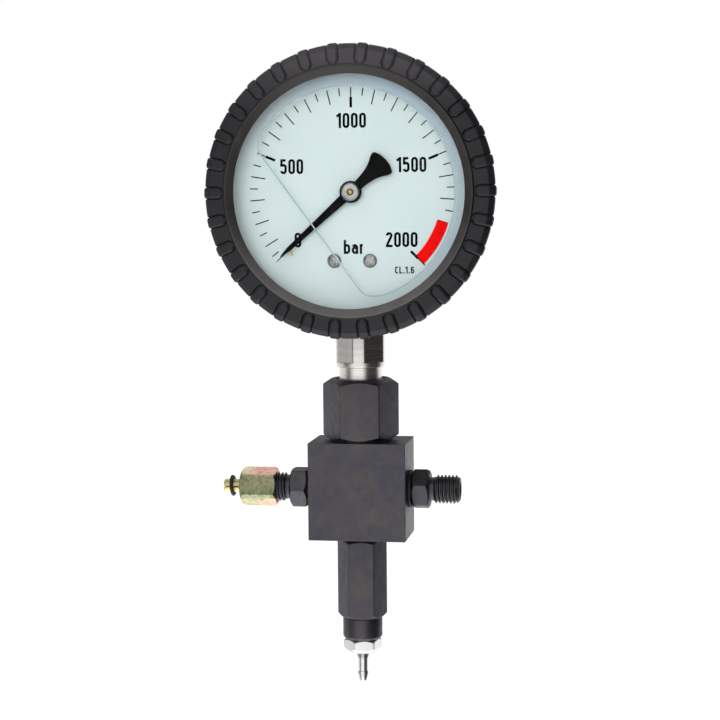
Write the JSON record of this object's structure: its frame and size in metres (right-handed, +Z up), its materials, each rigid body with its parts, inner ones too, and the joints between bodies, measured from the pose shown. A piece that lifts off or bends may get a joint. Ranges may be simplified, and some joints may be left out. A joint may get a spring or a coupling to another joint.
{
  "type": "pressure test gauge",
  "caption": "Liquid-filled dial pressure gauge in a ribbed rubber boot on a square manifold block with side adapters, a union nut plug and a relief valve with hose nozzle.",
  "frame": {"origin": "middle of the outer end face of the inlet stud, on its axis", "axes": "+X out along the inlet stud, +Z up towards the gauge, the dial faces -Y"},
  "size_m": [0.117, 0.0498, 0.2608],
  "materials": {
    "rubber": "moulded black rubber, matt",
    "black_steel": "blackened steel, satin, slightly blue-violet",
    "black_seal": "black sealing rubber",
    "nickel": "nickel-plated, turned and milled",
    "stainless": "stainless steel",
    "glass": "clear window over clear filling liquid",
    "dial": "white enamelled dial with printed scale",
    "pointer": "matt black",
    "brass": "plain brass",
    "chromate": "yellow iridescent chromate on zinc",
    "gold": "bright yellow passivated",
    "zinc": "bright zinc plated",
    "spring": "spring steel"
  },
  "bodies": {
    "root": {"manifold_block": "black_steel", "gauge_seal_washer": "black_seal", "gauge_coupling": "black_steel", "socket_stem": "nickel", "restrictor_screw": "brass", "gauge_case": "stainless", "case_fill_plug": "rubber", "bezel_ring": "stainless", "window_lens": "glass", "window_gasket": "black_seal", "rubber_boot": "rubber", "dial_plate": "dial", "dial_screw_left": "stainless", "dial_screw_right": "stainless", "zero_stop_pin": "brass", "bourdon_tube": "brass", "movement_back_plate": "brass", "movement_front_plate": "brass", "movement_pillar_left": "brass", "movement_pillar_right": "brass", "movement_screw_upper": "stainless", "movement_screw_lower": "stainless", "right_washer": "black_seal", "right_adapter": "black_steel", "left_adapter": "black_steel", "relief_valve_body": "black_steel", "valve_seat": "stainless", "valve_spring": "spring", "adjusting_screw": "stainless", "valve_collar": "black_steel", "nozzle_seal": "black_seal", "outlet_nozzle": "zinc"},
    "pointer_body": {"pointer": "pointer", "pointer_hub": "stainless", "pinion_arbor": "brass", "hairspring": "spring"},
    "sector_body": {"sector_gear": "brass"},
    "tube_tip_body": {"tube_tip": "brass", "link": "brass"},
    "poppet_body": {"valve_poppet": "stainless"},
    "plug_body": {"blanking_plug": "gold", "retaining_ring": "black_seal"},
    "nut_body": {"union_nut": "chromate"}
  },
  "joints": [
    {"name": "pointer_turn", "type": "hinge", "parent": "root", "child": "pointer_body", "pos_m": [-0.0409, -0.018, 0.1213], "axis": [0, 1, 0], "range_deg": [0, 270]},
    {"name": "sector_swing", "type": "hinge", "parent": "root", "child": "sector_body", "pos_m": [-0.0409, -0.01, 0.1037], "axis": [0, -1, 0], "range_deg": [0, 27]},
    {"name": "tube_tip_lift", "type": "slide", "parent": "root", "child": "tube_tip_body", "axis": [0, 0, 1], "range_m": [0, 0.00303], "stiffness_N_per_m": 800, "springref_m": -0.0004},
    {"name": "valve_lift", "type": "slide", "parent": "root", "child": "poppet_body", "axis": [0, 0, -1], "range_m": [0, 0.0012], "stiffness_N_per_m": 4000, "springref_m": -0.002, "deforming": ["valve_spring"]},
    {"name": "plug_travel", "type": "slide", "parent": "root", "child": "plug_body", "axis": [-1, 0, 0], "range_m": [0, 0.0075]},
    {"name": "nut_turn", "type": "hinge", "parent": "plug_body", "child": "nut_body", "pos_m": [-0.0849, 0, 0], "axis": [-1, 0, 0], "range_deg": [0, 1800]}
  ],
  "couplings": [
    {"joint": "sector_swing", "follows": "tube_tip_lift", "rad_per_m": 155.32},
    {"joint": "pointer_turn", "follows": "tube_tip_lift", "rad_per_m": 1553.2},
    {"joint": "nut_turn", "follows": "plug_travel", "rad_per_m": 4188.8}
  ]
}
